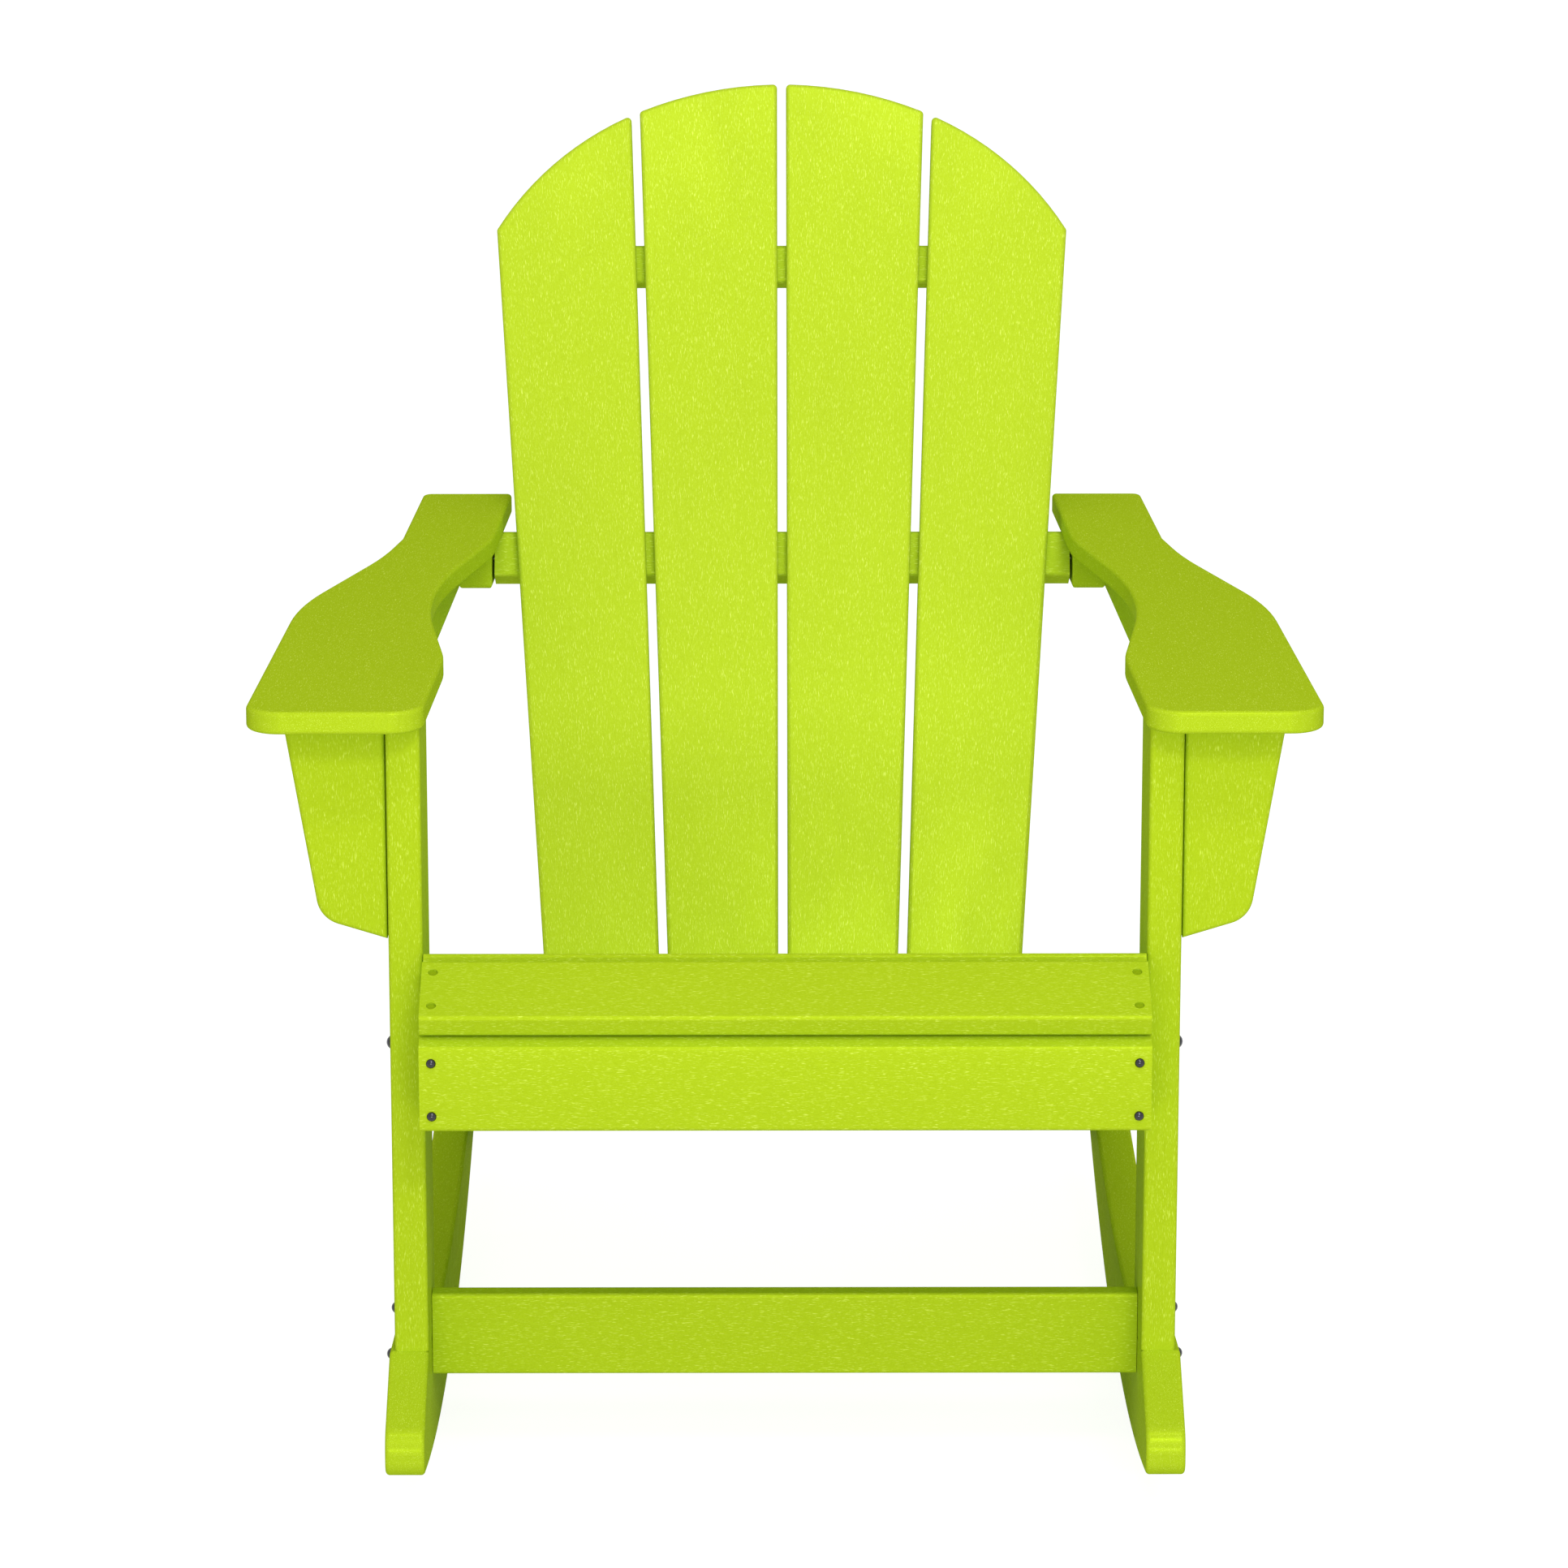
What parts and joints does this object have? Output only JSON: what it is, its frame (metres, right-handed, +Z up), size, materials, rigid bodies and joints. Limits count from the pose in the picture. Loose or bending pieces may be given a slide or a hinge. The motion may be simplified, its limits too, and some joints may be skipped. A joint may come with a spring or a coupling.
{
  "type": "rocking adirondack chair",
  "caption": "Rocking adirondack chair of flat lime-green boards: fan back with an arched top, sloping seat, wide shaped arms, and curved rockers bolted below the legs.",
  "frame": {"origin": "on the floor, under the middle of the chair's outer box", "axes": "+Z up; -Y towards the front of the chair; X = 0 is the mid-plane, +X is the side at the right of someone who faces the chair"},
  "size_m": [0.7764, 0.91, 0.9394],
  "materials": {
    "lime_lumber": "matte recycled-plastic lumber, dyed lime green, with fine pale flecks along each board",
    "dark_chrome": "dark polished steel",
    "zinc_plated_steel": "zinc-plated steel"
  },
  "bodies": {
    "root": {"apron": "lime_lumber", "apron_screws": "dark_chrome", "arm_height_back_rail": "lime_lumber", "arm_screws": "dark_chrome", "back_rail_bolt_nuts": "zinc_plated_steel", "back_rail_bolts": "dark_chrome", "back_slat_screws": "dark_chrome", "front_stretcher": "lime_lumber", "gusset_dowels": "lime_lumber", "left_arm": "lime_lumber", "left_arm_bearer": "lime_lumber", "left_arm_block": "lime_lumber", "left_arm_gusset": "lime_lumber", "left_front_leg": "lime_lumber", "left_inner_back_slat": "lime_lumber", "left_outer_back_slat": "lime_lumber", "left_rocker": "lime_lumber", "left_seat_stringer": "lime_lumber", "right_arm": "lime_lumber", "right_arm_bearer": "lime_lumber", "right_arm_block": "lime_lumber", "right_arm_gusset": "lime_lumber", "right_front_leg": "lime_lumber", "right_inner_back_slat": "lime_lumber", "right_outer_back_slat": "lime_lumber", "right_rocker": "lime_lumber", "right_seat_stringer": "lime_lumber", "seat_height_back_rail": "lime_lumber", "seat_plugs": "lime_lumber", "seat_rail_screws": "dark_chrome", "seat_slat_1": "lime_lumber", "seat_slat_2": "lime_lumber", "seat_slat_3": "lime_lumber", "seat_slat_4": "lime_lumber", "seat_slat_5": "lime_lumber", "seat_slat_6": "lime_lumber", "seat_slat_7": "lime_lumber", "seat_slat_8": "lime_lumber", "stretcher_bolt_nuts": "zinc_plated_steel", "stretcher_bolts": "dark_chrome", "stringer_bolt_nuts": "zinc_plated_steel", "stringer_bolts": "dark_chrome", "tail_bolt_nuts": "zinc_plated_steel", "tail_bolts": "dark_chrome", "upper_back_rail": "lime_lumber"}
  },
  "joints": []
}
